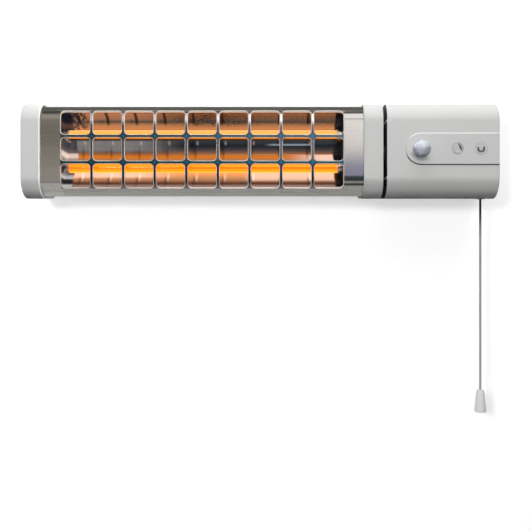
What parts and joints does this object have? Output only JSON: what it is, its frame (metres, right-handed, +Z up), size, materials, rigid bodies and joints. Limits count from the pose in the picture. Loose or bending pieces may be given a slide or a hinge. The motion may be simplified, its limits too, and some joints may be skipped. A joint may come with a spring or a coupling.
{
  "type": "infrared heater",
  "caption": "Wall-mounted infrared quartz heater: tilting reflector head behind a pressed grille, fixed control box with motion sensor, flush adjusters and a pull-cord switch.",
  "frame": {"origin": "on the wall plane, at the centre of the four wall screw holes of the rail, which is the middle of the heater's length and height", "axes": "+X along the heater towards the control box, +Y into the wall, +Z up"},
  "size_m": [0.6, 0.1226, 0.3989],
  "materials": {
    "white_plastic": "fine satin moulding",
    "knob_plastic": "satin",
    "stainless_sheet": "bright rolled stainless steel",
    "zinc_sheet": "zinc-plated sheet steel",
    "polished_sheet": "polished",
    "quartz": "clear fused quartz",
    "filament": "glowing resistance wire, emissive orange",
    "ceramic": "unglazed steatite",
    "brass": "plain",
    "zinc_hardware": "bright zinc plate",
    "nylon": "natural nylon",
    "switch_red": "satin",
    "dark_plastic": "satin",
    "board": "solder resist",
    "lead_sleeve": "silicone sleeve",
    "grommet_rubber": "soft rubber",
    "guide_plastic": "satin",
    "lens_plastic": "milky segmented polyethylene lens",
    "cord_braid": "braided nylon cord",
    "bell_plastic": "satin"
  },
  "bodies": {
    "base": {"wall_rail": "zinc_sheet", "pivot_arm": "zinc_sheet", "arm_rivets": "zinc_hardware", "pivot_pin": "zinc_hardware", "pin_clip": "zinc_hardware", "pivot_bracket": "zinc_sheet", "bracket_bush": "nylon", "hub_ring": "zinc_hardware", "tilt_stop": "zinc_hardware", "control_base": "white_plastic", "control_cover": "white_plastic", "cover_screws": "zinc_hardware", "rail_screws": "zinc_hardware", "sensor_panel": "white_plastic", "sensor_lens": "lens_plastic", "circuit_board": "board", "board_screws": "zinc_hardware", "pir_element": "brass", "potentiometers": "dark_plastic", "relay": "dark_plastic", "transformer": "dark_plastic", "capacitor": "dark_plastic", "terminal_block": "nylon", "box_lead": "lead_sleeve", "cable_grommet": "grommet_rubber", "cable_clamp": "nylon", "supply_screws": "zinc_hardware", "pull_switch": "nylon", "lever_pin": "zinc_hardware", "cord_guide": "guide_plastic"},
    "head": {"left_end_cap": "white_plastic", "right_end_cap": "white_plastic", "front_grille": "stainless_sheet", "rear_housing": "zinc_sheet", "left_end_plate": "zinc_sheet", "right_end_plate": "zinc_sheet", "reflector": "polished_sheet", "left_cheek": "polished_sheet", "right_cheek": "polished_sheet", "upper_quartz_tube": "quartz", "lower_quartz_tube": "quartz", "upper_coil": "filament", "lower_coil": "filament", "ceramic_caps": "ceramic", "tube_terminals": "brass", "link_strap": "brass", "thermal_cutout": "dark_plastic", "cap_screws": "zinc_hardware", "left_pivot_bush": "nylon", "pivot_tube": "zinc_hardware", "flange_screws": "zinc_hardware", "friction_washer": "zinc_hardware", "pivot_nut": "brass", "head_leads": "lead_sleeve"},
    "light_knob": {"light_adjuster": "knob_plastic"},
    "time_knob": {"time_adjuster": "knob_plastic"},
    "lever": {"switch_lever": "switch_red"},
    "cord": {"pull_cord": "cord_braid", "cord_knot": "cord_braid", "cord_bell": "bell_plastic"}
  },
  "joints": [
    {"name": "head_tilt", "type": "hinge", "parent": "base", "child": "head", "pos_m": [0.15675, -0.073, 0], "axis": [1, 0, 0], "range_deg": [0, 40]},
    {"name": "cord_pull", "type": "slide", "parent": "base", "child": "cord", "axis": [0, 0, -1], "range_m": [0, 0.01], "stiffness_N_per_m": 400, "springref_m": -0.002},
    {"name": "lever_turn", "type": "hinge", "parent": "base", "child": "lever", "pos_m": [0.275, -0.063, -0.032], "axis": [0, 1, 0], "range_deg": [0, 39.5]},
    {"name": "light_turn", "type": "hinge", "parent": "base", "child": "light_knob", "pos_m": [0.2465, -0.11, 0], "axis": [0, -1, 0], "range_deg": [-135, 135]},
    {"name": "time_turn", "type": "hinge", "parent": "base", "child": "time_knob", "pos_m": [0.2762, -0.11, 0], "axis": [0, -1, 0], "range_deg": [-135, 135]}
  ],
  "couplings": [
    {"joint": "lever_turn", "follows": "cord_pull", "rad_per_m": 68.6}
  ]
}
